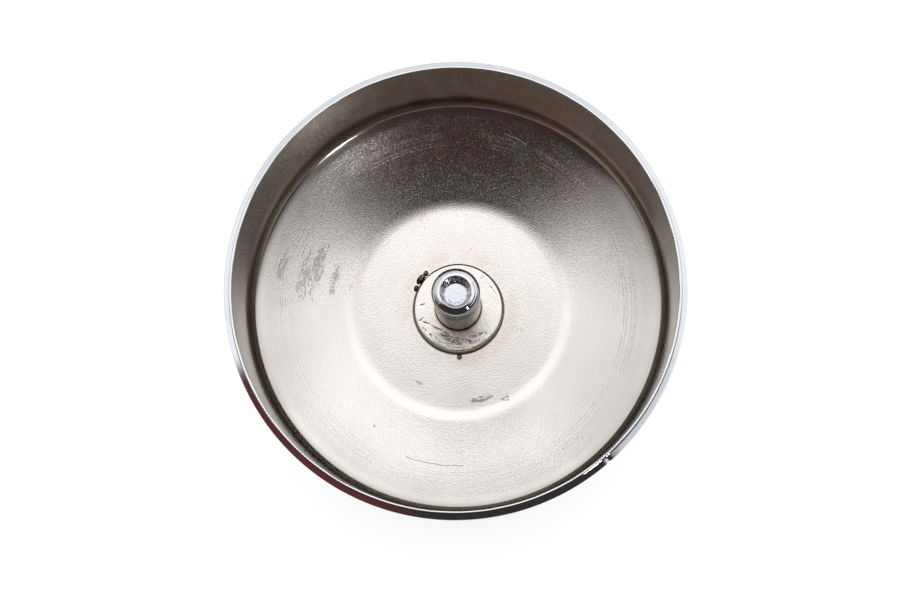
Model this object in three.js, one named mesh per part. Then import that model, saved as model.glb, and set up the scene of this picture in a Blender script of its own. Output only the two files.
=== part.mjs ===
import * as THREE from 'three';

// Air filter housing cup for a small engine: a deep-drawn, plated steel bowl that is open at the top. Inside, a
// round flange is projection-welded to the middle of the dished floor, and a short post stands in the flange.
// Millimetres. +Z points out of the open mouth, and the origin is the centre of the closed face it stands on.

// Drawn cup
const OUTER_RADIUS = 30;
const CUP_HEIGHT = 23.1;
const SHEET = 1.15; // steel thickness
const CORNER_RADIUS = 1.7; // inside, between wall and floor
const FLAT_RADIUS = 14.2; // flat middle of the floor
const DISH_START_RADIUS = 16.3; // where the dished ring of the floor begins
const DISH_START_SLOPE = THREE.MathUtils.degToRad(18); // the ring's slope there, from the horizontal
const DISH_END_SLOPE = THREE.MathUtils.degToRad(30); // its slope where it meets the corner
const RIM_LAND = 0.25; // sharp flat edge left inside by the trimming die
const RIM_ROUND_HEIGHT = 0.55; // the rest of the rim falls away outwards in a flat curve

// Flange, raised off the floor by its three weld projections
const FLANGE_RADIUS = 6.4;
const FLANGE_THICKNESS = 1.2;
const FLANGE_EDGE = 0.4; // rounding of the stamped top edge
const FLANGE_HOLE = 3.3;
const WELD_STANDOFF = 0.25;
const WELD_CIRCLE = 4.6; // radius of the circle that the three projections lie on
const WELD_RADIUS = 0.8;
const WELD_ANGLES = [30, 150, 270];

// Post, pressed through the flange and standing on the floor
const POST_RADIUS = 3.25;
const SHANK_RADIUS = 3.2;
const POST_TOP = 17.45;
const COLLAR_LENGTH = 5.2; // bright upper part of the post
const LIP_CREST = 2.2; // radius of the ridge between lip and dish
const LIP_SLOPE = THREE.MathUtils.degToRad(12); // slope of the lip at that ridge
const LIP_END_SLOPE = THREE.MathUtils.degToRad(48); // its slope at the corner to the side
const LIP_CORNER = 0.16; // radius of that corner
const DISH_LIP = 0.15; // inner rounding of the lip
const DISH_SLOPE = THREE.MathUtils.degToRad(50); // how far that rounding turns before it runs down the dish
const DISH_RADIUS = 1.5; // flat bottom of the dished tip
const DISH_DEPTH = 0.5;

// Beads of metal squeezed out of two of the welds: angle, distance from the axis, radius
const BEADS = [
  { angle: 132, distance: 7, radius: 0.34 },
  { angle: 141, distance: 6.95, radius: 0.45 },
  { angle: 153.5, distance: 6.78, radius: 0.32 },
  { angle: 271, distance: 6.9, radius: 0.38 },
];
const BEAD_CENTRE_HEIGHT = 0.7; // height of a bead's centre over the floor, in radii

const CUP_SEGMENTS = 60;
const FLANGE_SEGMENTS = 40;
const POST_SEGMENTS = 32;
const WELD_SEGMENTS = 14;

const QUARTER = Math.PI / 2;
const FLOOR = SHEET;
const FLANGE_BOTTOM = FLOOR + WELD_STANDOFF;
const FLANGE_TOP = FLANGE_BOTTOM + FLANGE_THICKNESS;

// Points of an arc in the (radius, height) plane, both ends included; half-axes may differ.
function arc(centreR, centreZ, from, to, steps, radius, heightRadius = radius) {
  const points = [];
  for (let i = 0; i <= steps; i++) {
    const angle = from + ((to - from) * i) / steps;
    const r = centreR + radius * Math.cos(angle);
    const z = centreZ + heightRadius * Math.sin(angle);
    points.push(new THREE.Vector2(r, z));
  }
  return points;
}

// Solid of revolution about +Z from a profile of (radius, height) points.
function turned(profile, segments) {
  const geometry = new THREE.LatheGeometry(profile, segments);
  geometry.rotateX(QUARTER);
  return geometry;
}

function piece(name, geometry, colour, roughness, metalness) {
  const material = new THREE.MeshStandardMaterial({ color: colour, roughness, metalness });
  const mesh = new THREE.Mesh(geometry, material);
  mesh.name = name;
  return mesh;
}

// The cup's section from the axis to the foot of the straight wall, at a distance outside its inner skin.
// Three arcs follow each other without a kink: flat middle to dished ring, the ring itself, and the corner.
function sheetLine(distance) {
  const startSine = Math.sin(DISH_START_SLOPE);
  const endSine = Math.sin(DISH_END_SLOPE);
  const dishEndRadius = OUTER_RADIUS - SHEET - CORNER_RADIUS * (1 - endSine);
  const bends = [
    { radius: (DISH_START_RADIUS - FLAT_RADIUS) / startSine, slope: DISH_START_SLOPE, steps: 3 },
    { radius: (dishEndRadius - DISH_START_RADIUS) / (endSine - startSine), slope: DISH_END_SLOPE, steps: 4 },
    { radius: CORNER_RADIUS, slope: QUARTER, steps: 5 },
  ];
  const points = [new THREE.Vector2(0, FLOOR - distance)];
  let slope = 0;
  let r = FLAT_RADIUS;
  let z = FLOOR;
  for (const bend of bends) {
    const centreR = r - bend.radius * Math.sin(slope);
    const centreZ = z + bend.radius * Math.cos(slope);
    const bowRadius = bend.radius + distance;
    const bow = arc(centreR, centreZ, slope - QUARTER, bend.slope - QUARTER, bend.steps, bowRadius);
    points.push(...(slope > 0 ? bow.slice(1) : bow));
    slope = bend.slope;
    r = centreR + bend.radius * Math.sin(slope);
    z = centreZ - bend.radius * Math.cos(slope);
  }
  return points;
}

function cupProfile() {
  const landR = OUTER_RADIUS - SHEET + RIM_LAND;
  const roundZ = CUP_HEIGHT - RIM_ROUND_HEIGHT;
  return [
    ...sheetLine(SHEET),
    ...arc(landR, roundZ, 0, QUARTER, 5, OUTER_RADIUS - landR, RIM_ROUND_HEIGHT),
    new THREE.Vector2(OUTER_RADIUS - SHEET, CUP_HEIGHT),
    ...sheetLine(0).reverse(),
  ];
}

function flangeProfile() {
  const edgeR = FLANGE_RADIUS - FLANGE_EDGE;
  return [
    new THREE.Vector2(FLANGE_HOLE, FLANGE_BOTTOM),
    new THREE.Vector2(FLANGE_RADIUS, FLANGE_BOTTOM),
    ...arc(edgeR, FLANGE_TOP - FLANGE_EDGE, 0, QUARTER, 3, FLANGE_EDGE),
    new THREE.Vector2(FLANGE_HOLE, FLANGE_TOP),
    new THREE.Vector2(FLANGE_HOLE, FLANGE_BOTTOM),
  ];
}

function postProfile() {
  const lipEndR = POST_RADIUS - LIP_CORNER * (1 - Math.sin(LIP_END_SLOPE));
  const lipBow = (lipEndR - LIP_CREST) / (Math.sin(LIP_END_SLOPE) - Math.sin(LIP_SLOPE));
  const lipR = LIP_CREST - lipBow * Math.sin(LIP_SLOPE);
  const lipZ = POST_TOP - lipBow * Math.cos(LIP_SLOPE);
  const cornerZ = lipZ + (lipBow - LIP_CORNER) * Math.cos(LIP_END_SLOPE);
  const collarBottom = POST_TOP - COLLAR_LENGTH;
  const collarStep = POST_RADIUS - SHANK_RADIUS;
  return [
    new THREE.Vector2(0, FLOOR),
    new THREE.Vector2(SHANK_RADIUS, FLOOR),
    new THREE.Vector2(SHANK_RADIUS, collarBottom - collarStep),
    new THREE.Vector2(POST_RADIUS, collarBottom),
    ...arc(POST_RADIUS - LIP_CORNER, cornerZ, 0, QUARTER - LIP_END_SLOPE, 2, LIP_CORNER),
    ...arc(lipR, lipZ, QUARTER - LIP_END_SLOPE, QUARTER - LIP_SLOPE, 3, lipBow).slice(1),
    ...arc(LIP_CREST, POST_TOP - DISH_LIP, QUARTER, QUARTER + DISH_SLOPE, 2, DISH_LIP).slice(1),
    new THREE.Vector2(DISH_RADIUS, POST_TOP - DISH_DEPTH),
    new THREE.Vector2(0, POST_TOP - DISH_DEPTH),
  ];
}

// A sphere cut off flat where it has sunk into the floor; its own origin is at floor level.
function beadProfile(radius) {
  const centreZ = radius * BEAD_CENTRE_HEIGHT;
  const foot = -Math.asin(BEAD_CENTRE_HEIGHT);
  return [new THREE.Vector2(0, 0), ...arc(0, centreZ, foot, QUARTER, 6, radius)];
}

function placeOnCircle(mesh, degrees, distance, height) {
  const angle = THREE.MathUtils.degToRad(degrees);
  mesh.position.set(distance * Math.cos(angle), distance * Math.sin(angle), height);
  return mesh;
}

const group = new THREE.Group();
group.name = 'air_filter_housing';

group.add(piece('housing_cup', turned(cupProfile(), CUP_SEGMENTS), 0xd9d4cb, 0.3, 1));
group.add(piece('weld_flange', turned(flangeProfile(), FLANGE_SEGMENTS), 0xd6d0c4, 0.35, 1));
group.add(piece('centre_post', turned(postProfile(), POST_SEGMENTS), 0xc9cdd2, 0.12, 1));

WELD_ANGLES.forEach((degrees, i) => {
  const weld = new THREE.CylinderGeometry(WELD_RADIUS, WELD_RADIUS, WELD_STANDOFF, WELD_SEGMENTS);
  weld.rotateX(QUARTER);
  const mesh = piece(`weld_nugget_${i + 1}`, weld, 0x7d756b, 0.6, 1);
  group.add(placeOnCircle(mesh, degrees, WELD_CIRCLE, FLOOR + WELD_STANDOFF / 2));
});

BEADS.forEach((bead, i) => {
  const mesh = piece(`weld_bead_${i + 1}`, turned(beadProfile(bead.radius), WELD_SEGMENTS), 0x3a322b, 0.5, 1);
  group.add(placeOnCircle(mesh, bead.angle, bead.distance, FLOOR));
});

export default group;
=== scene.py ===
import math

import bpy
import numpy as np
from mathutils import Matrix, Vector, noise


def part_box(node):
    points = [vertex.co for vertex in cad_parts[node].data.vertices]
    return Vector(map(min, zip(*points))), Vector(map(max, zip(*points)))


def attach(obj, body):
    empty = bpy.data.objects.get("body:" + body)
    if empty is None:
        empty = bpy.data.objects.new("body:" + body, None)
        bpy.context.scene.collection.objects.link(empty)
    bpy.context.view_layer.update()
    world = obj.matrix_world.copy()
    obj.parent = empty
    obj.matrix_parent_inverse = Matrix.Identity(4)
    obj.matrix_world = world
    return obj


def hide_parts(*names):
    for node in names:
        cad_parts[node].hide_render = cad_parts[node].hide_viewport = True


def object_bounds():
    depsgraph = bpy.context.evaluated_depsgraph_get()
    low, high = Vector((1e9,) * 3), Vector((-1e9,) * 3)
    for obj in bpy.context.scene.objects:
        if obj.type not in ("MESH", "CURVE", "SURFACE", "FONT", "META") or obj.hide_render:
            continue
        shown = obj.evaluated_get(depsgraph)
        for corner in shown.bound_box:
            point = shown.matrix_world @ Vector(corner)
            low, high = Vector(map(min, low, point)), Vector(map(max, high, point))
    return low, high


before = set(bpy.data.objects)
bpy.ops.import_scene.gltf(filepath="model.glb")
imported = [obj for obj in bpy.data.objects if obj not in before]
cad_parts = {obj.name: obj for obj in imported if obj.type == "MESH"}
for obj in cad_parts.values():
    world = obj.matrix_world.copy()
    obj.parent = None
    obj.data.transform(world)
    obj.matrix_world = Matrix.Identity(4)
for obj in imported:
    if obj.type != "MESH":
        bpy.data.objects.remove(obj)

# Air filter housing cup: plated steel cup, welded flange, pressed-in post and the weld metal around them.
# Metres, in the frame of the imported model: +Z out of the open mouth, the closed face on z = 0.

MM = 0.001
TAU = 2 * math.pi
QUARTER = math.pi / 2

cad_low, cad_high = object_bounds()
flange_low, flange_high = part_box("weld_flange")
post_low, post_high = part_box("centre_post")

# Cup
CUP_RADIUS = cad_high.x
CUP_TOP = cad_high.z
FLOOR = post_low.z  # the post stands on the inside of the floor, one sheet thickness up
SHEET = FLOOR - cad_low.z
INNER_RADIUS = CUP_RADIUS - SHEET
CORNER_RADIUS = 1.7 * MM  # inside, between wall and floor
FLAT_RADIUS = 14.2 * MM  # flat middle of the floor
DISH_START_RADIUS = 16.3 * MM  # where the dished ring of the floor begins
DISH_START_SLOPE = math.radians(18)
DISH_END_SLOPE = math.radians(30)
RIM_LAND = 0.24 * MM  # flat left by the trimming die
RIM_BEVEL = math.radians(38)  # the rim falls away outwards at this slope
RIM_BEVEL_END = CUP_RADIUS - 0.05 * MM  # radius where the bevel rounds into the outer wall
RIM_CHAMFER = 0.04 * MM  # broken inner edge of the rim
WALL_FOOT = FLOOR + 7 * MM  # height where the corner ends and the straight wall begins

# Flange and post
FLANGE_RADIUS = flange_high.x
FLANGE_BOTTOM = flange_low.z
FLANGE_TOP = flange_high.z
FLANGE_EDGE = 0.4 * MM
POST_RADIUS = post_high.x
POST_TOP = post_high.z
SHANK_RADIUS = POST_RADIUS - 0.05 * MM
FLANGE_HOLE = POST_RADIUS + 0.05 * MM
COLLAR_LENGTH = 5.2 * MM
LIP_SLOPE = math.radians(12)  # slope of the lip where it meets the dish
LIP_END_SLOPE = math.radians(48)  # its slope at the corner to the side
LIP_CORNER = 0.16 * MM  # radius of that corner
LIP_CREST = 2.2 * MM  # radius of the ridge between lip and dish
DISH_LIP = 0.15 * MM
DISH_SLOPE = math.radians(50)
DISH_RADIUS = 1.5 * MM
DISH_DEPTH = 0.5 * MM

# Mesh columns round the axis: the rim has four for each tooth that the trimming die left
COLUMNS = 420
RIM_COLUMNS = 4 * COLUMNS
FLANGE_COLUMNS = 360
POST_COLUMNS = 192


# ---------------------------------------------------------------- outlines

def arc(centre_r, centre_z, start, end, steps, radius):
    """Points of an arc in the (radius, height) plane, both ends included."""
    angles = np.linspace(start, end, steps + 1)
    return [(centre_r + radius * math.cos(a), centre_z + radius * math.sin(a)) for a in angles]


def line(start, end, steps):
    """Points of a straight stretch, without its first point."""
    return [(start[0] + s * (end[0] - start[0]), start[1] + s * (end[1] - start[1]))
            for s in np.linspace(0, 1, steps + 1)[1:]]


def sheet_line(distance):
    """The cup's section from the axis to the foot of the straight wall, that far outside its inner skin."""
    start_sine, end_sine = math.sin(DISH_START_SLOPE), math.sin(DISH_END_SLOPE)
    dish_end_radius = INNER_RADIUS - CORNER_RADIUS * (1 - end_sine)
    bends = [
        ((DISH_START_RADIUS - FLAT_RADIUS) / start_sine, DISH_START_SLOPE, 8),
        ((dish_end_radius - DISH_START_RADIUS) / (end_sine - start_sine), DISH_END_SLOPE, 26),
        (CORNER_RADIUS, QUARTER, 14),
    ]
    points = [(0.0, FLOOR - distance)]
    points += line(points[0], (FLAT_RADIUS, FLOOR - distance), 14)
    slope, r, z = 0.0, FLAT_RADIUS, FLOOR
    for radius, end, steps in bends:
        centre_r = r - radius * math.sin(slope)
        centre_z = z + radius * math.cos(slope)
        points += arc(centre_r, centre_z, slope - QUARTER, end - QUARTER, steps, radius + distance)[1:]
        slope = end
        r = centre_r + radius * math.sin(slope)
        z = centre_z - radius * math.cos(slope)
    return points


# ---------------------------------------------------------------- meshes

def solid(name, verts, faces):
    mesh = bpy.data.meshes.new(name)
    mesh.from_pydata(verts, [], faces)
    mesh.validate()
    mesh.polygons.foreach_set("use_smooth", [True] * len(mesh.polygons))
    mesh.update()
    piece = bpy.data.objects.new(name, mesh)
    bpy.context.scene.collection.objects.link(piece)
    return piece


def ring_mesh(name, rings, shape=None, closed=False):
    """A solid from rings (radius, height, columns), from axis to axis, or closed on itself like a washer.
    A ring may have a whole multiple of its neighbour's columns. shape(r, angle, z) moves each point."""
    verts, faces, starts = [], [], []
    for r, z, columns in rings:
        starts.append(len(verts))
        if r == 0:
            verts.append((0.0, 0.0, z))
            continue
        for i in range(columns):
            rr, aa, zz = shape(r, TAU * i / columns, z) if shape else (r, TAU * i / columns, z)
            verts.append((rr * math.cos(aa), rr * math.sin(aa), zz))
    pairs = list(zip(range(len(rings)), range(1, len(rings))))
    if closed:
        pairs.append((len(rings) - 1, 0))
    for low, high in pairs:
        (r0, _, n0), (r1, _, n1) = rings[low], rings[high]
        s0, s1 = starts[low], starts[high]
        if r0 == 0:
            faces += [(s0, s1 + (i + 1) % n1, s1 + i) for i in range(n1)]
        elif r1 == 0:
            faces += [(s0 + i, s0 + (i + 1) % n0, s1) for i in range(n0)]
        else:
            coarse = min(n0, n1)
            k0, k1 = n0 // coarse, n1 // coarse
            for i in range(coarse):
                near = [s0 + (i * k0 + j) % n0 for j in range(k0 + 1)]
                far = [s1 + (i * k1 + j) % n1 for j in range(k1 + 1)]
                faces.append(tuple(near + far[::-1]))
    return solid(name, verts, faces)


def declare(piece, slot, *nodes):
    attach(piece, "root")
    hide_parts(*nodes)


def bell(distance, width):
    return math.exp(-(distance / width) ** 2)


def ripple(r, angle, z, size, seed=0.0):
    """Smooth noise from -1 to 1 at a point of the part, with bumps about that size."""
    point = Vector((r * math.cos(angle), r * math.sin(angle), z)) / size
    return noise.noise(point + Vector((seed, seed, seed)))


def turn_between(angle, degrees):
    """Signed angle from a direction in degrees to another in radians."""
    return (angle - math.radians(degrees) + math.pi) % TAU - math.pi


# ---------------------------------------------------------------- node graphs

class Graph:
    """A metal's node tree: one Principled shader, driven by sums and masks over the part's millimetres."""

    def __init__(self, name):
        self.material = bpy.data.materials.new(name)
        self.material.use_nodes = True
        self.tree = self.material.node_tree
        self.tree.nodes.clear()
        self.shader = self.tree.nodes.new("ShaderNodeBsdfPrincipled")
        self.shader.inputs["Metallic"].default_value = 1.0
        output = self.tree.nodes.new("ShaderNodeOutputMaterial")
        self.tree.links.new(self.shader.outputs["BSDF"], output.inputs["Surface"])
        scale = self.vector_math("SCALE", self.tree.nodes.new("ShaderNodeTexCoord").outputs["Object"])
        scale.inputs["Scale"].default_value = 1 / MM
        self.place = scale.outputs[0]
        split = self.tree.nodes.new("ShaderNodeSeparateXYZ")
        self.tree.links.new(self.place, split.inputs[0])
        self.x, self.y, self.z = split.outputs
        self.radius = self.math("SQRT", self.add(self.times(self.x, self.x), self.times(self.y, self.y)))
        self.azimuth = self.times(self.math("ARCTAN2", self.y, self.x), 180 / math.pi)

    def feed(self, socket, value):
        if isinstance(value, bpy.types.NodeSocket):
            self.tree.links.new(value, socket)
        elif hasattr(value, "__len__") and socket.type == "RGBA":
            socket.default_value = (*value, 1.0)
        else:
            socket.default_value = value

    def vector_math(self, kind, *values):
        node = self.tree.nodes.new("ShaderNodeVectorMath")
        node.operation = kind
        for socket, value in zip(node.inputs, values):
            self.feed(socket, value)
        return node

    def math(self, kind, *values):
        node = self.tree.nodes.new("ShaderNodeMath")
        node.operation = kind
        for socket, value in zip(node.inputs, values):
            self.feed(socket, value)
        return node.outputs[0]

    def add(self, *values):
        total = values[0]
        for value in values[1:]:
            total = self.math("ADD", total, value)
        return total

    def times(self, *values):
        total = values[0]
        for value in values[1:]:
            total = self.math("MULTIPLY", total, value)
        return total

    def highest(self, *values):
        total = values[0]
        for value in values[1:]:
            total = self.math("MAXIMUM", total, value)
        return total

    def gap(self, a, b):
        return self.math("ABSOLUTE", self.math("SUBTRACT", a, b))

    def step(self, value, low, high, start=0.0, end=1.0):
        """start at low, end at high, and a smooth change between; low may be the larger."""
        if low > high:
            low, high, start, end = high, low, end, start
        node = self.tree.nodes.new("ShaderNodeMapRange")
        node.interpolation_type = "SMOOTHSTEP"
        for socket, v in zip(node.inputs, (value, low, high, start, end)):
            self.feed(socket, v)
        return node.outputs[0]

    def vector(self, x, y, z=0.0):
        node = self.tree.nodes.new("ShaderNodeCombineXYZ")
        for socket, value in zip(node.inputs, (x, y, z)):
            self.feed(socket, value)
        return node.outputs[0]

    def noise(self, scale, detail=2.0, roughness=0.5, distortion=0.0, vector=None):
        node = self.tree.nodes.new("ShaderNodeTexNoise")
        self.feed(node.inputs["Vector"], self.place if vector is None else vector)
        node.inputs["Scale"].default_value = scale
        node.inputs["Detail"].default_value = detail
        node.inputs["Roughness"].default_value = roughness
        node.inputs["Distortion"].default_value = distortion
        return node.outputs["Fac"]

    def mix(self, share, a, b):
        node = self.tree.nodes.new("ShaderNodeMix")
        node.data_type = "RGBA"
        share_socket, a_socket, b_socket = node.inputs[0], node.inputs[6], node.inputs[7]
        self.feed(share_socket, share)
        self.feed(a_socket, a)
        self.feed(b_socket, b)
        return node.outputs[2]

    def patch(self, degrees, radius, half_length, half_width, ragged, torn=0.46):
        """A stain with ragged edges: how far it reaches along and across the circle, in millimetres."""
        along = self.times(self.math("SUBTRACT", self.azimuth, degrees), radius * math.pi / 180 / half_length)
        across = self.times(self.math("SUBTRACT", self.radius, radius), 1 / half_width)
        away = self.add(self.times(along, along), self.times(across, across))
        return self.step(self.add(ragged, self.times(away, -0.1)), torn, torn + 0.03)

    def stroke(self, start, end, width, wobble):
        """A scratch from (degrees, millimetres) to another such point."""
        rate = (end[1] - start[1]) / (end[0] - start[0])
        ridge = self.add(self.times(self.math("SUBTRACT", self.azimuth, start[0]), rate), start[1])
        near = self.step(self.gap(self.radius, self.add(ridge, wobble)), width, 0.0)
        low, high = sorted((start[0], end[0]))
        fade = 0.3  # degrees
        after_start = self.step(self.azimuth, low - fade, low + fade)
        before_end = self.step(self.azimuth, high + fade, high - fade)
        return self.times(near, self.times(after_start, before_end))

    def finish(self, colour, roughness, height):
        """height is in millimetres."""
        self.feed(self.shader.inputs["Base Color"], colour)
        self.feed(self.shader.inputs["Roughness"], roughness)
        bump = self.tree.nodes.new("ShaderNodeBump")
        bump.inputs["Distance"].default_value = MM
        self.feed(bump.inputs["Height"], height)
        self.tree.links.new(bump.outputs["Normal"], self.shader.inputs["Normal"])
        return self.material


# ---------------------------------------------------------------- materials

NICKEL = (0.64, 0.611, 0.583)
CHROME = (0.585, 0.605, 0.635)
OLIVE = (0.43, 0.375, 0.30)
RUST_AND_CORNER_SHADE = (0.20, 0.10, 0.05)
PURPLE_STAIN = (0.36, 0.325, 0.335)
TAN_FLAKE = (0.50, 0.40, 0.31)
OXIDE_AND_SHADE = (0.055, 0.040, 0.028)
DIRT = (0.16, 0.12, 0.10)
COPPER_REFLECTION_TINT = (0.61, 0.43, 0.37)
CHROME_HAZE = (0.55, 0.56, 0.575)
DRAWN_CHROME = (0.43, 0.44, 0.455)
WORN_NICKEL = (0.20, 0.165, 0.145)
SHADED_NICKEL = (0.50, 0.465, 0.455)
FLANGE_OLIVE = (0.37, 0.315, 0.215)
DULL_SHANK = (0.45, 0.40, 0.31)
GROOVE_SHADE_BLACK = (0.05, 0.055, 0.065)
PALE_TIP = (0.46, 0.485, 0.51)
PIT_RED = (0.28, 0.12, 0.10)
WELD_BLACK = (0.030, 0.022, 0.016)
WELD_BROWN = (0.16, 0.11, 0.065)
WELD_BARE = (0.34, 0.31, 0.25)

CREVICE_END = FLANGE_RADIUS + 0.16 * MM  # painted contact shadow with oxide: a dark line on the floor round the foot of the flange

TOOL_RINGS = (25.0, 24.75, 24.4, 23.75, 23.35)  # radii in millimetres

# (degrees, radius, half length, half width) of each stain, in millimetres
PURPLE_PATCHES = [
    (167, 25.4, 2.6, 0.7), (168, 22.3, 3.6, 1.2), (164, 20.9, 4.4, 1.0), (166, 18.2, 2.6, 0.7),
    (-118, 12.0, 1.2, 0.4),
]
TAN_PATCHES = [
    (111, 14.2, 1.2, 1.6), (139, 14.1, 2.2, 0.6), (151, 15.2, 1.6, 0.6), (166, 15.6, 2.2, 1.2),
    (-20, 9.0, 0.9, 2.2),
]
DARK_SPOTS = [(-63, 14.4, 0.7, 0.25), (-76, 13.3, 1.5, 0.5), (-125, 20.5, 0.2, 0.17), (78, 8.9, 0.16, 0.14)]

# (degrees, radius) of both ends and half width of each scratch, in millimetres
SCRATCHES = [
    ((16, 28.0), (22, 25.2), 0.07), ((67, 25.2), (75, 25.6), 0.06), ((-109, 22.3), (-88, 22.35), 0.09),
    ((-55, 14.0), (-40, 12.6), 0.12), ((-40, 12.6), (-28, 11.0), 0.12), ((43, 22.6), (45, 21.5), 0.09),
    ((120, 26.5), (122, 25.6), 0.08), ((-66, 14.3), (-61, 14.9), 0.10),
]


def satin_nickel():
    """Inside of the cup: grained floor, smoother wall, tooling rings, stains and scratches, painted shade and
    a painted reflection tint.
    """
    g = Graph("satin_nickel")
    wall = g.step(g.z, 6.4, 8.2)
    floor = g.math("SUBTRACT", 1.0, wall)
    grain = g.noise(6.6, 2, 0.6)
    pebbles = g.noise(4.6, 1, 0.5)
    sparkle = g.noise(5.0, 2, 0.6)
    drift = g.noise(0.16, 2, 0.5)
    arc_mm = g.times(g.azimuth, 0.42)  # along the circle of the tooling rings
    streaks = g.noise(1.0, 5, 0.75, 0.4, g.vector(g.times(arc_mm, 0.6), g.times(g.radius, 3.0)))
    ragged = g.add(g.times(streaks, 0.7), g.times(g.noise(3.4, 3, 0.7), 0.3))
    cloud = g.noise(0.4, 2, 0.5)

    # Tooling rings, each a row of short marks that comes and goes
    dots = g.step(g.noise(3.6, 1, 0.5, vector=g.vector(arc_mm, g.times(g.radius, 0.9))), 0.42, 0.60)
    here = g.step(g.noise(0.12, 2, 0.6, vector=g.vector(arc_mm, g.times(g.radius, 2.4))), 0.38, 0.54)
    rings = g.highest(*[g.step(g.gap(g.radius, r), 0.085, 0.02) for r in TOOL_RINGS])
    rings = g.times(rings, dots, here, g.step(g.gap(g.azimuth, 85), 150, 90, 0.4, 1.0))

    wobble = g.times(g.math("SUBTRACT", g.noise(1.1, 2), 0.5), 0.35)
    scratches = g.highest(*[g.stroke(start, end, width, wobble) for start, end, width in SCRATCHES])

    # Stains, with painted shade round the flange's foot and a painted reflection tint on the dished ring
    purple = g.highest(*[g.patch(*spot, ragged) for spot in PURPLE_PATCHES])
    tan = g.highest(*[g.patch(*spot, ragged, 0.51) for spot in TAN_PATCHES])
    spots = g.highest(*[g.patch(*spot, ragged, 0.42) for spot in DARK_SPOTS])
    halo = g.times(g.step(g.gap(g.radius, 7.6), 1.5, 0.2), g.step(cloud, 0.36, 0.62))
    # painted contact shadow with oxide in a ring round the flange's foot
    crevice = g.step(g.add(g.radius, g.times(ragged, 0.25)), CREVICE_END / MM + 0.2, CREVICE_END / MM + 0.1)
    foot = g.times(g.step(g.z, 8.4, 7.6), g.step(g.z, 6.7, 7.2))
    rust = g.times(g.step(g.gap(g.azimuth, 93), 16, 6), g.step(ragged, 0.44, 0.56))
    rust = g.times(rust, g.step(g.gap(g.z, 8.8), 1.9, 0.5))
    # painted reflection tint: copper brown over the dished ring about azimuth 82, where the dim room is
    # reflected
    painted_reflection_tint = g.times(floor, g.step(g.radius, 17.5, 22.5), g.step(g.gap(g.azimuth, 82), 54, 14))
    painted_reflection_tint = g.times(painted_reflection_tint, g.step(cloud, 0.3, 0.6))
    lower_wall = g.times(wall, g.step(g.z, 15.5, 8.5))

    colour = g.mix(g.step(drift, 0.35, 0.65), NICKEL, tuple(0.955 * c for c in NICKEL))
    colour = g.mix(g.times(lower_wall, 0.55), colour, OLIVE)
    colour = g.mix(g.times(foot, 0.25), colour, OLIVE)
    colour = g.mix(g.times(wall, g.step(cloud, 0.36, 0.64, 0.1, 0.4)), colour, OLIVE)
    # painted shade: extra olive darkens the wall about azimuth 80
    colour = g.mix(g.times(wall, g.step(g.gap(g.azimuth, 80), 90, 65), 0.42), colour, OLIVE)
    colour = g.mix(g.times(painted_reflection_tint, 0.85), colour, COPPER_REFLECTION_TINT)
    colour = g.mix(g.times(halo, 0.22), colour, TAN_FLAKE)
    colour = g.mix(g.times(tan, 0.7), colour, TAN_FLAKE)
    colour = g.mix(g.times(purple, 0.7), colour, PURPLE_STAIN)
    colour = g.mix(g.times(spots, 0.7), colour, DIRT)
    colour = g.mix(g.times(rust, 0.8), colour, RUST_AND_CORNER_SHADE)
    colour = g.mix(g.times(crevice, 0.85), colour, OXIDE_AND_SHADE)

    # The dished ring is roughened by the drawing. Its specks are dense about azimuth 95 and sparse opposite.
    strained = g.times(floor, g.step(g.radius, 14.0, 17.5), g.step(g.radius, 27.9, 26.9, 0.15, 1.0))
    speckle = g.times(strained, g.step(sparkle, 0.48, 0.74), g.step(g.gap(g.azimuth, 95), 110, 55, 0.15, 1.0))
    dull = g.add(g.times(speckle, 0.58), g.times(rings, 0.6))
    g.feed(g.shader.inputs["Metallic"], g.math("SUBTRACT", 1.0, dull))
    rough = g.add(0.12, g.times(strained, 0.05), g.times(speckle, 0.13), g.times(purple, 0.12))
    rough = g.add(rough, g.times(crevice, 0.3), g.times(rings, 0.1), g.times(scratches, 0.15))

    drawn = g.noise(1.0, 3, 0.6, vector=g.vector(g.times(g.azimuth, 1.6), g.times(g.z, 0.06)))
    grained = g.times(floor, g.step(g.radius, 27.6, 26.4, 0.3, 1.0))
    height = g.add(g.times(grained, grain, 0.024), g.times(grained, pebbles, 0.005))
    height = g.add(height, g.times(wall, drawn, 0.005), g.times(strained, sparkle, 0.010))
    height = g.add(height, g.times(rings, -0.012), g.times(scratches, -0.022), g.times(purple, -0.004))
    return g.finish(colour, rough, height)


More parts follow.
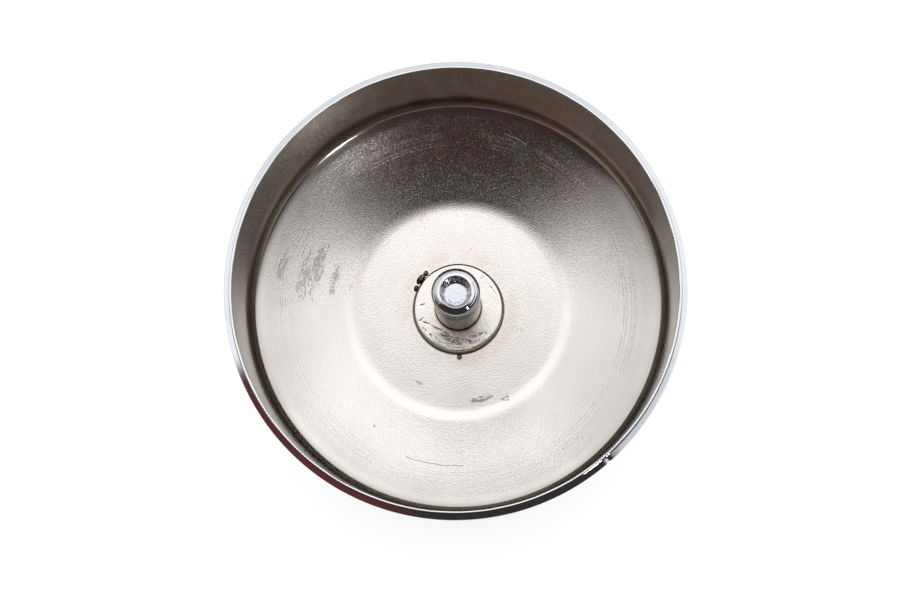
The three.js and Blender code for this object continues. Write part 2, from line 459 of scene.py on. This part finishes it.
def bright_chrome():
    """Outside of the cup and its rim: mirror plating with a little orange peel, handling marks and dull
    freckles. Below the rim it also has faint upright marks from the drawing die."""
    g = Graph("bright_chrome")
    peel = g.noise(0.9, 2)
    haze = g.step(g.noise(0.22, 3, 0.6), 0.45, 0.75)
    freckle = g.step(g.noise(3.4, 3, 0.6), 0.70, 0.76)
    round_cup = g.vector(g.times(g.azimuth, 0.08), g.times(g.radius, 0.9), g.times(g.z, 9))
    rub = g.step(g.noise(0.7, 3, 0.7, vector=round_cup), 0.60, 0.70)
    below_rim = g.step(g.z, CUP_TOP / MM - 1.3, CUP_TOP / MM - 2.0)
    up_wall = g.vector(g.times(g.azimuth, 2.4), g.times(g.radius, 0.8), g.times(g.z, 0.09))
    drawn = g.step(g.noise(1.0, 3, 0.6, vector=up_wall), 0.44, 0.72)
    drawn = g.times(below_rim, drawn, g.step(g.noise(0.16, 2, 0.5), 0.36, 0.62, 0.25, 1.0))
    colour = g.mix(g.times(haze, 0.35), CHROME, CHROME_HAZE)
    colour = g.mix(g.times(drawn, 0.3), colour, DRAWN_CHROME)
    colour = g.mix(g.times(freckle, 0.7), colour, OLIVE)
    rough = g.add(0.045, g.times(haze, 0.07), g.times(rub, 0.09), g.times(freckle, 0.25))
    rough = g.add(rough, g.times(drawn, 0.08))
    height = g.add(g.times(peel, 0.006), g.times(rub, -0.0015), g.times(freckle, -0.004))
    height = g.add(height, g.times(drawn, -0.001))
    return g.finish(colour, rough, height)


def flange_nickel():
    """Flange: satin top with turning lines, olive oxide on its side, rust with painted corner shade where the
    post comes through, and painted shade with oxide underneath.
    """
    g = Graph("flange_nickel")
    grain = g.noise(6, 2, 0.6)
    ragged = g.noise(2.4, 4, 0.65, 0.4)
    top_mm = FLANGE_TOP / MM
    near_side = g.times(g.step(g.z, top_mm - 0.015, top_mm - 0.10), g.step(g.y, -1.0, -4.5))
    side = g.highest(g.step(g.z, top_mm - 0.06, top_mm - 0.22), near_side)
    # painted shade with oxide on the lower side and underside of the flange
    under = g.step(g.z, top_mm - 0.5, top_mm - 0.9)
    low_half = g.step(g.y, 1.0, -5.5)
    brushed = g.noise(1.0, 3, 0.7, vector=g.vector(g.times(g.azimuth, 0.05), g.times(g.radius, 5)))
    worn = g.times(g.step(brushed, 0.50, 0.62), g.step(g.y, -2.6, -4.4), g.step(g.gap(g.x, 0.0), 4.4, 2.0))
    # rust with painted corner shade in a ring round the post
    joint = g.step(g.radius, 3.62, 3.34)
    brim = g.step(g.radius, 5.8, 6.1)
    colour = g.mix(g.times(low_half, 0.16), tuple(1.02 * c for c in NICKEL), SHADED_NICKEL)
    colour = g.mix(g.times(g.step(ragged, 0.55, 0.7), 0.3), colour, TAN_FLAKE)
    colour = g.mix(g.times(worn, 0.5), colour, WORN_NICKEL)
    colour = g.mix(g.times(joint, 0.6), colour, RUST_AND_CORNER_SHADE)
    colour = g.mix(g.times(brim, 0.15), colour, TAN_FLAKE)
    colour = g.mix(g.times(side, 0.85), colour, FLANGE_OLIVE)
    colour = g.mix(g.times(under, 0.85), colour, OXIDE_AND_SHADE)
    rough = g.add(0.14, g.step(grain, 0.35, 0.65, 0.0, 0.06), g.times(worn, 0.12), g.times(side, 0.12))
    lathe = g.noise(1.0, 2, 0.6, vector=g.vector(g.times(g.radius, 9), g.times(g.azimuth, 0.01)))
    height = g.add(g.times(grain, 0.012), g.times(lathe, 0.006), g.times(worn, -0.015))
    return g.finish(colour, rough, height)


# Shallow waves turned into the post: how far below the tip and how deep, in millimetres. The last gets no
# painted shade.
TURNED_WAVES = [(1.6, 0.05), (3.1, 0.045), (4.4, 0.03), (6.2, 0.03)]
SHADED_WAVES = TURNED_WAVES[:3]
DISH_MM = 2.0  # radius within which the dish of the tip is paler, in millimetres


def post_chrome():
    """Post: mirror chrome at the tip, painted shade in the turned grooves under it, dull brown-grey down the
    shank, rust with painted corner shade at the foot."""
    g = Graph("post_chrome")
    grain = g.noise(7, 3, 0.6)
    ragged = g.noise(3.2, 4, 0.6)
    top_mm = POST_TOP / MM
    dull = g.step(g.add(g.z, g.times(ragged, 1.0)), top_mm - 1.2, top_mm - 3.0)
    # rust with painted corner shade where the post stands on the flange
    foot = g.step(g.add(g.z, g.times(ragged, 0.4)), 3.2, 2.85)
    pits = g.times(g.step(ragged, 0.50, 0.62), g.step(g.z, top_mm - 0.75, top_mm - 0.3))
    pits = g.times(pits, g.step(g.gap(g.radius, 1.8), 0.5, 0.2))
    dish = g.times(g.step(g.z, top_mm - 0.3, top_mm - 0.45), g.step(g.radius, DISH_MM + 0.1, DISH_MM - 0.1))
    colour = g.mix(g.times(dull, 0.8), CHROME, DULL_SHANK)
    colour = g.mix(g.times(foot, 0.7), colour, RUST_AND_CORNER_SHADE)
    # painted shade: the first three turned grooves are coloured near black and made less metallic
    groove_shade = g.highest(*[g.step(g.gap(g.z, top_mm - below), 0.45, 0.15) for below, _ in SHADED_WAVES])
    groove_shade = g.times(groove_shade, g.step(ragged, 0.3, 0.55, 0.5, 0.85))
    g.feed(g.shader.inputs["Metallic"], g.math("SUBTRACT", 1.0, g.times(groove_shade, 0.85)))
    colour = g.mix(groove_shade, colour, GROOVE_SHADE_BLACK)
    colour = g.mix(g.times(dish, g.step(ragged, 0.3, 0.6, 0.3, 1.0)), colour, PALE_TIP)
    colour = g.mix(g.times(pits, 0.6), colour, PIT_RED)
    rough = g.add(0.05, g.times(dull, 0.20), g.times(foot, 0.2), g.times(pits, 0.15))
    rough = g.add(rough, g.times(groove_shade, 0.3), g.step(grain, 0.4, 0.7, 0.0, 0.05))
    turning = g.noise(1.0, 2, 0.7, vector=g.vector(g.times(g.z, 11), g.times(g.azimuth, 0.012)))
    height = g.add(g.times(turning, 0.005), g.times(grain, dull, 0.022), g.times(pits, -0.02))
    return g.finish(colour, rough, height)


def weld_oxide(name, bare):
    """Squeezed-out weld metal: scaly blue-black and brown oxide, with that share of it bare on the crown."""
    g = Graph(name)
    scale = g.noise(4, 4, 0.65)
    crown = g.step(g.noise(2.2, 2), 0.68 - bare, 0.78 - bare)
    colour = g.mix(g.step(scale, 0.38, 0.62), WELD_BLACK, WELD_BROWN)
    colour = g.mix(g.times(crown, 0.55), colour, WELD_BARE)
    rough = g.add(0.22, g.step(scale, 0.3, 0.7, 0.0, 0.3), g.times(crown, -0.1))
    return g.finish(colour, rough, g.times(scale, 0.04))


# ---------------------------------------------------------------- pieces

NICK_DEGREES = 311  # a small dent in the rim
NICK_WIDTH = 0.32 * MM
NICK_DEPTH = 0.05 * MM  # at the edge, inwards and downwards
NICK_DEPTH_BELOW = 0.07 * MM  # in the outer wall just under the edge
TOOTH_DEPTH = 0.09 * MM  # how far the teeth of the trimming die bit into the land


def cup_shape(r, angle, z):
    """Slight waves in the drawn sheet, die teeth along the rim's inner edge, and one nick."""
    wave = 0.016 * MM * ripple(r, angle, z, 9 * MM) + 0.007 * MM * ripple(r, angle, z, 4 * MM, 7.0)
    if z < CUP_TOP - 2 * MM:
        outward = min(1.0, max(0.0, (z - WALL_FOOT) / MM))
        sag = (1 - outward) * wave * (1 if r > FLAT_RADIUS else 0.4)
        return min(CUP_RADIUS, r + outward * wave), angle, max(cad_low.z, z + sag)
    nick = bell(turn_between(angle, NICK_DEGREES) * r, NICK_WIDTH)
    if z < CUP_TOP - RIM_CHAMFER - 0.03 * MM:
        outside = max(0.0, (r - INNER_RADIUS) / SHEET)
        return r - NICK_DEPTH_BELOW * nick * outside, angle, z
    edge = bell(r - INNER_RADIUS, 0.16 * MM)
    tooth = 0.5 + 0.5 * math.cos(angle * COLUMNS)
    uneven = max(0.0, 0.5 + 1.1 * ripple(r, angle, 0.0, 2.6 * MM, 3.0))
    r += edge * (TOOTH_DEPTH * tooth * uneven + 0.02 * MM * ripple(r, angle, 0.0, 1.1 * MM, 5.0))
    r -= NICK_DEPTH * nick
    return r, angle, z - NICK_DEPTH * nick * (1 - edge)


def cup_rings():
    inner = sheet_line(0.0)
    outer = sheet_line(SHEET)
    land_end = (INNER_RADIUS + RIM_CHAMFER + RIM_LAND, CUP_TOP)
    bevel_z = CUP_TOP - (RIM_BEVEL_END - land_end[0]) * math.tan(RIM_BEVEL)
    round_radius = (CUP_RADIUS - RIM_BEVEL_END) / (1 - math.sin(RIM_BEVEL))
    round_z = bevel_z - round_radius * math.cos(RIM_BEVEL)
    wall = line(outer[-1], (CUP_RADIUS, round_z - 0.8 * MM), 7)
    rim = [(CUP_RADIUS, round_z - 0.4 * MM)]
    rim += arc(CUP_RADIUS - round_radius, round_z, 0, QUARTER - RIM_BEVEL, 6, round_radius)
    rim += line(rim[-1], land_end, 5)
    rim += [(INNER_RADIUS + RIM_CHAMFER, CUP_TOP), (INNER_RADIUS, CUP_TOP - RIM_CHAMFER)]
    rim += [(INNER_RADIUS, CUP_TOP - RIM_CHAMFER - 0.2 * MM)]
    low_edge = (INNER_RADIUS, CUP_TOP - 0.7 * MM)
    inside = [low_edge] + line(low_edge, inner[-1], 9) + inner[-2::-1]
    rings = [(r, z, COLUMNS) for r, z in outer + wall]
    rings += [(r, z, RIM_COLUMNS) for r, z in rim]
    return rings + [(r, z, COLUMNS) for r, z in inside]


def build_cup():
    cup = ring_mesh("cup_shell", cup_rings(), cup_shape)
    cup.data.materials.append(satin_nickel())
    cup.data.materials.append(bright_chrome())
    for polygon in cup.data.polygons:
        c = polygon.center
        rim_or_wall = math.hypot(c.x, c.y) > INNER_RADIUS + 0.04 * MM
        polygon.material_index = 1 if rim_or_wall or polygon.normal.z < -0.05 else 0
    declare(cup, "plated_sheet", "housing_cup")


# Gouges in the flange's top: both ends from the axis, half width, depth, all in millimetres
GOUGES = [
    ((-5.5, -1.9), (-4.1, -2.4), 0.10, 0.102), ((-4.9, -1.5), (-5.4, -2.2), 0.09, 0.085),
    ((-4.1, -2.4), (-1.3, -3.7), 0.07, 0.068), ((-2.2, -3.9), (1.7, -4.9), 0.15, 0.102),
    ((-1.8, -4.4), (0.4, -5.1), 0.13, 0.102), ((1.5, -4.3), (3.9, -3.6), 0.09, 0.085),
    ((4.6, 3.0), (5.3, 1.9), 0.09, 0.0595), ((3.3, 4.0), (3.5, 4.4), 0.10, 0.0595),
    ((-5.3, 0.2), (-4.8, 0.5), 0.10, 0.0595), ((-4.9, -3.0), (-3.6, -4.1), 0.07, 0.051),
]


def to_stroke(x, y, start, end):
    """Distance from a point to a straight stroke, in millimetres."""
    (ax, ay), (bx, by) = start, end
    length = (bx - ax) ** 2 + (by - ay) ** 2
    share = min(1.0, max(0.0, ((x - ax) * (bx - ax) + (y - ay) * (by - ay)) / length))
    return math.hypot(x - ax - share * (bx - ax), y - ay - share * (by - ay))


def flange_shape(r, angle, z):
    if z < FLANGE_TOP - 0.5 * FLANGE_EDGE:
        return r + 0.012 * MM * ripple(r, angle, z, 0.8 * MM), angle, z
    x, y = r * math.cos(angle) / MM, r * math.sin(angle) / MM
    jitter = 0.16 * ripple(r, angle, z, 0.35 * MM, 4.0)
    x, y = x + jitter, y - jitter
    depth = max(deep * bell(to_stroke(x, y, a, b), wide) for a, b, wide, deep in GOUGES)
    broken = 0.6 + 0.9 * ripple(r, angle, z, 0.3 * MM, 9.0)
    return r, angle, z - MM * (max(0.0, depth * broken) + 0.006 * (1 + ripple(r, angle, z, 1.5 * MM)))


def build_flange():
    edge_r = FLANGE_RADIUS - FLANGE_EDGE
    edge = arc(edge_r, FLANGE_TOP - FLANGE_EDGE, 0, QUARTER, 6, FLANGE_EDGE)
    outline = [(FLANGE_HOLE, FLANGE_BOTTOM)]
    outline += line(outline[0], (FLANGE_RADIUS, FLANGE_BOTTOM), 8)
    outline += line(outline[-1], edge[0], 5)[:-1] + edge
    outline += line(edge[-1], (FLANGE_HOLE, FLANGE_TOP), 56)
    outline += line(outline[-1], outline[0], 4)[:-1]
    flange = ring_mesh("flange_disc", [(r, z, FLANGE_COLUMNS) for r, z in outline], flange_shape, closed=True)
    flange.data.materials.append(flange_nickel())
    declare(flange, "nickel_flange", "weld_flange")


LIP_GROOVE = 2.66 * MM  # radius of a shallow groove turned into the lip, deepest at the angle below
LIP_GROOVE_DEGREES = -15
DISH_SHIFT = 0.24 * MM  # how far the bottom of the dish lies off the axis, towards -Y


def post_shape(r, angle, z):
    below = (POST_TOP - z) / MM
    if r < LIP_CREST and below < 1:
        low = min(1.0, below * MM / DISH_DEPTH)
        x, y = r * math.cos(angle), r * math.sin(angle) - DISH_SHIFT * low * min(1.0, r / DISH_RADIUS)
        dent = 0.03 * MM * ripple(r, angle, z, 0.45 * MM, 6.0) * math.sin(math.pi * low)
        return math.hypot(x, y), math.atan2(y, x), z + dent
    side = min(1.0, max(0.0, (r - POST_RADIUS + LIP_CORNER) / LIP_CORNER))
    cut = side * sum(depth * bell(below - place, 0.42) for place, depth in TURNED_WAVES)
    dull = min(1.0, max(0.0, (below - 1.5) / 2))
    rough = (0.004 + 0.014 * dull) * ripple(r, angle, z, 0.5 * MM)
    rough += 0.010 * ripple(r, angle, z, 2.2 * MM, 2.0)
    one_side = 0.5 + 0.5 * math.cos(turn_between(angle, LIP_GROOVE_DEGREES))
    groove = 0.03 * one_side * bell(r - LIP_GROOVE, 0.08 * MM) if below < 1 else 0.0
    return r - MM * (cut - rough), angle, z - MM * groove


def build_post():
    lip_end = POST_RADIUS - LIP_CORNER * (1 - math.sin(LIP_END_SLOPE))
    lip_bow = (lip_end - LIP_CREST) / (math.sin(LIP_END_SLOPE) - math.sin(LIP_SLOPE))
    lip_centre = LIP_CREST - lip_bow * math.sin(LIP_SLOPE), POST_TOP - lip_bow * math.cos(LIP_SLOPE)
    corner_z = lip_centre[1] + (lip_bow - LIP_CORNER) * math.cos(LIP_END_SLOPE)
    collar = POST_TOP - COLLAR_LENGTH
    outline = [(0.0, FLOOR)] + line((0.0, FLOOR), (SHANK_RADIUS, FLOOR), 4)
    outline += line(outline[-1], (SHANK_RADIUS, collar - 0.05 * MM), 30)
    outline += line(outline[-1], (POST_RADIUS, collar), 1)
    outline += line(outline[-1], (POST_RADIUS, corner_z), 60)[:-1]
    outline += arc(POST_RADIUS - LIP_CORNER, corner_z, 0, QUARTER - LIP_END_SLOPE, 6, LIP_CORNER)[:-1]
    outline += arc(*lip_centre, QUARTER - LIP_END_SLOPE, QUARTER - LIP_SLOPE, 36, lip_bow)
    outline += arc(LIP_CREST, POST_TOP - DISH_LIP, QUARTER, QUARTER + DISH_SLOPE, 9, DISH_LIP)[1:]
    outline += line(outline[-1], (DISH_RADIUS, POST_TOP - DISH_DEPTH), 6)
    outline += line(outline[-1], (0.0, POST_TOP - DISH_DEPTH), 9)
    post = ring_mesh("post_pin", [(r, z, POST_COLUMNS) for r, z in outline], post_shape)
    post.data.materials.append(post_chrome())
    declare(post, "chrome_post", "centre_post")


def lump(name, centre, half, turn, seed, material, node):
    """A frozen drop of metal: a sphere stretched to its half-axes, turned about +Z and made uneven."""
    rings, columns = 28, 44
    latitudes = [math.pi * i / rings for i in range(rings + 1)]
    sides = [(math.sin(a), -math.cos(a), columns) for a in latitudes]
    sides[0], sides[-1] = (0.0, -1.0, columns), (0.0, 1.0, columns)
    piece = ring_mesh(name, sides)
    for vertex in piece.data.vertices:
        p = vertex.co.copy()
        coarse = noise.noise(p * 1.6 + Vector((seed, 0, 0)))
        fine = noise.noise(p * 4.5 + Vector((0, seed, 0)))
        swell = 1 + 0.14 * coarse + 0.07 * fine
        x, y, z = (swell * p[i] * half[i] for i in range(3))
        vertex.co = (centre[0] + x * math.cos(turn) - y * math.sin(turn),
                     centre[1] + x * math.sin(turn) + y * math.cos(turn), centre[2] + z)
    piece.data.materials.append(material)
    declare(piece, "weld_metal", node)


# How long and how high each bead is, in radii of its CAD sphere
BEAD_STRETCH = {
    "weld_bead_1": (1.15, 1.0),
    "weld_bead_2": (1.95, 0.95),
    "weld_bead_3": (1.5, 0.9),
    "weld_bead_4": (1.0, 1.0),
}
BARE_BEADS = ("weld_bead_1", "weld_bead_4")  # more bare metal on the crown


def build_weld_metal():
    oxide = weld_oxide("weld_oxide", 0.14)
    bare = weld_oxide("weld_bare", 0.4)
    for seed, (node, (long, high)) in enumerate(BEAD_STRETCH.items()):
        low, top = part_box(node)
        middle, radius = (low + top) / 2, (top.x - low.x) / 2
        tangent = math.atan2(middle.y, middle.x) + QUARTER
        centre = (middle.x, middle.y, low.z + 0.62 * radius * high)
        metal = bare if node in BARE_BEADS else oxide
        half = (radius * long, radius, radius * high)
        lump(node.replace("weld", "squeezed"), centre, half, tangent, 3.1 * seed, metal, node)
    for number in (1, 2, 3):
        node = "weld_nugget_%d" % number
        low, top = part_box(node)
        middle, radius, thick = (low + top) / 2, (top.x - low.x) / 2, (top.z - low.z) / 2
        half = (radius, radius * 0.92, thick * 1.25)
        lump("fused_projection_%d" % number, middle, half, number, 20.0 + number, oxide, node)


build_cup()
build_flange()
build_post()
build_weld_metal()


# ---------------------------------------------------------------- stage

FLOOR_REACH = 3.0  # from the middle to each side
FLOOR_ALBEDO = 0.5
FLOOR_GLOW = 0.72  # with the light that falls on it, this brings the floor up to white


def stage_floor():
    mesh = bpy.data.meshes.new("stage_floor")
    side = FLOOR_REACH
    corners = [(-side, -side, 0), (side, -side, 0), (side, side, 0), (-side, side, 0)]
    mesh.from_pydata(corners, [], [(0, 1, 2, 3)])
    floor = bpy.data.objects.new("stage_floor", mesh)
    floor.location.z = cad_low.z - 0.05 * MM
    bpy.context.scene.collection.objects.link(floor)
    material = bpy.data.materials.new("stage_floor")
    material.use_nodes = True
    shader = material.node_tree.nodes["Principled BSDF"]
    shader.inputs["Base Color"].default_value = (FLOOR_ALBEDO, FLOOR_ALBEDO, FLOOR_ALBEDO, 1)
    shader.inputs["Roughness"].default_value = 0.9
    shader.inputs["Emission Color"].default_value = (1, 1, 1, 1)
    shader.inputs["Emission Strength"].default_value = FLOOR_GLOW
    mesh.materials.append(material)


def toward(azimuth, zenith):
    """Unit vector at that azimuth and angle from the zenith, in degrees."""
    a, t = math.radians(azimuth), math.radians(zenith)
    return math.sin(t) * math.cos(a), math.sin(t) * math.sin(a), math.cos(t)


class Sky:
    """Sums and masks over the direction of view, for the studio's light."""

    def __init__(self, world):
        world.use_nodes = True
        self.tree = world.node_tree
        self.tree.nodes.clear()
        self.direction = self.tree.nodes.new("ShaderNodeTexCoord").outputs["Generated"]

    def feed(self, socket, value):
        if isinstance(value, bpy.types.NodeSocket):
            self.tree.links.new(value, socket)
        else:
            socket.default_value = (*value, 1.0) if hasattr(value, "__len__") else value

    def calc(self, kind, a, b=0.0):
        node = self.tree.nodes.new("ShaderNodeMath")
        node.operation = kind
        self.feed(node.inputs[0], a)
        self.feed(node.inputs[1], b)
        return node.outputs[0]

    def ramp(self, value, low, high, start=0.0, end=1.0):
        node = self.tree.nodes.new("ShaderNodeMapRange")
        node.interpolation_type = "SMOOTHSTEP"
        if low > high:
            low, high, start, end = high, low, end, start
        for socket, v in zip(node.inputs, (value, low, high, start, end)):
            self.feed(socket, v)
        return node.outputs[0]

    def cosine_to(self, azimuth, zenith):
        dot = self.tree.nodes.new("ShaderNodeVectorMath")
        dot.operation = "DOT_PRODUCT"
        self.tree.links.new(self.direction, dot.inputs[0])
        dot.inputs[1].default_value = toward(azimuth, zenith)
        return dot.outputs["Value"]

    def cap(self, azimuth, zenith, outer, inner, share=1.0):
        """A round patch about a direction: nothing beyond the outer angle, its share within the inner."""
        edge, core = math.cos(math.radians(outer)), math.cos(math.radians(inner))
        return self.ramp(self.cosine_to(azimuth, zenith), edge, core, 0.0, share)

    def sector(self, azimuth, outer, inner):
        """A wedge of the compass about an azimuth."""
        up = self.cosine_to(0, 0)
        level = self.calc("SQRT", self.calc("SUBTRACT", 1.0, self.calc("MULTIPLY", up, up)))
        facing = self.calc("DIVIDE", self.cosine_to(azimuth, 90), self.calc("MAXIMUM", level, 0.01))
        return self.ramp(facing, math.cos(math.radians(outer)), math.cos(math.radians(inner)))

    def mix(self, share, a, b):
        node = self.tree.nodes.new("ShaderNodeMix")
        node.data_type = "RGBA"
        for socket, value in zip((node.inputs[0], node.inputs[6], node.inputs[7]), (share, a, b)):
            self.feed(socket, value)
        return node.outputs[2]


def studio_world():
    """A soft white dome over a white table, with the dim side of the room where a person would stand."""
    world = bpy.data.worlds.new("studio")
    bpy.context.scene.world = world
    sky = Sky(world)
    up = sky.cosine_to(0, 0)  # 1 at the zenith, 0 at the horizon
    above_table = sky.ramp(up, 0.20, 0.34)
    dome = sky.calc("MAXIMUM", sky.ramp(up, 0.48, 0.93, 0.95, 1.60), sky.ramp(up, 0.30, 0.12, 0.0, 1.42))
    window = sky.calc("MULTIPLY", sky.sector(84, 54, 38), sky.ramp(up, 0.28, 0.66, 0.0, 1.74))
    dome = sky.calc("MAXIMUM", dome, window)
    # Dim parts of the room, each about an azimuth
    standing = sky.calc("MULTIPLY", sky.sector(262, 60, 52), sky.ramp(up, 0.84, 0.70))
    low_left = sky.calc("MULTIPLY", sky.sector(214, 26, 18), sky.ramp(up, 0.52, 0.42))
    right = sky.calc("MULTIPLY", sky.cap(328, 76, 46, 22), above_table)
    left = sky.calc("MULTIPLY", sky.cap(212, 66, 42, 12, 0.75), above_table)
    dark = standing
    for part in (sky.cap(268, 52, 56, 38), sky.cap(275, 9, 19, 3, 0.85), low_left, right, left):
        dark = sky.calc("MAXIMUM", dark, part)
    redness = sky.calc("MULTIPLY", sky.sector(222, 40, 20), sky.ramp(up, 0.46, 0.38))
    shade = sky.mix(redness, (0.050, 0.043, 0.042), (0.16, 0.045, 0.042))
    background = sky.tree.nodes.new("ShaderNodeBackground")
    # The room only shows in the metal: looked at directly, past the floor, it is plain white
    seen = sky.tree.nodes.new("ShaderNodeLightPath").outputs["Is Camera Ray"]
    sky.feed(background.inputs["Color"], sky.mix(seen, sky.mix(dark, dome, shade), (1.0, 1.0, 1.0)))
    output = sky.tree.nodes.new("ShaderNodeOutputWorld")
    sky.tree.links.new(background.outputs[0], output.inputs["Surface"])


LAMP_DISTANCE = 0.8
LAMP_AZIMUTH = 312
LAMP_ZENITH = 53
LAMP_SIZE = 0.075
LAMP_POWER = 0.4


def lamp():
    """One compact lamp: it gives the white arc on the corner and the glints on the post."""
    data = bpy.data.lights.new("lamp", "AREA")
    data.shape = "DISK"
    data.size = LAMP_SIZE
    data.energy = LAMP_POWER
    light = bpy.data.objects.new("lamp", data)
    light.location = Vector(toward(LAMP_AZIMUTH, LAMP_ZENITH)) * LAMP_DISTANCE
    light.rotation_euler = (-light.location).to_track_quat("-Z", "Y").to_euler()
    bpy.context.scene.collection.objects.link(light)


EYE = (0.00497, -0.03062, 0.21370)
EYE_TILT = (math.radians(8.548), math.radians(1.667), 0)
LENS_MM = 60
SENSOR_MM = 36


def camera():
    data = bpy.data.cameras.new("camera")
    data.lens = LENS_MM
    data.sensor_width = SENSOR_MM
    data.clip_start = 0.01
    eye = bpy.data.objects.new("camera", data)
    eye.location = EYE
    eye.rotation_euler = EYE_TILT
    bpy.context.scene.collection.objects.link(eye)
    bpy.context.scene.camera = eye


stage_floor()
studio_world()
lamp()
camera()
bpy.context.scene.view_settings.view_transform = "Standard"
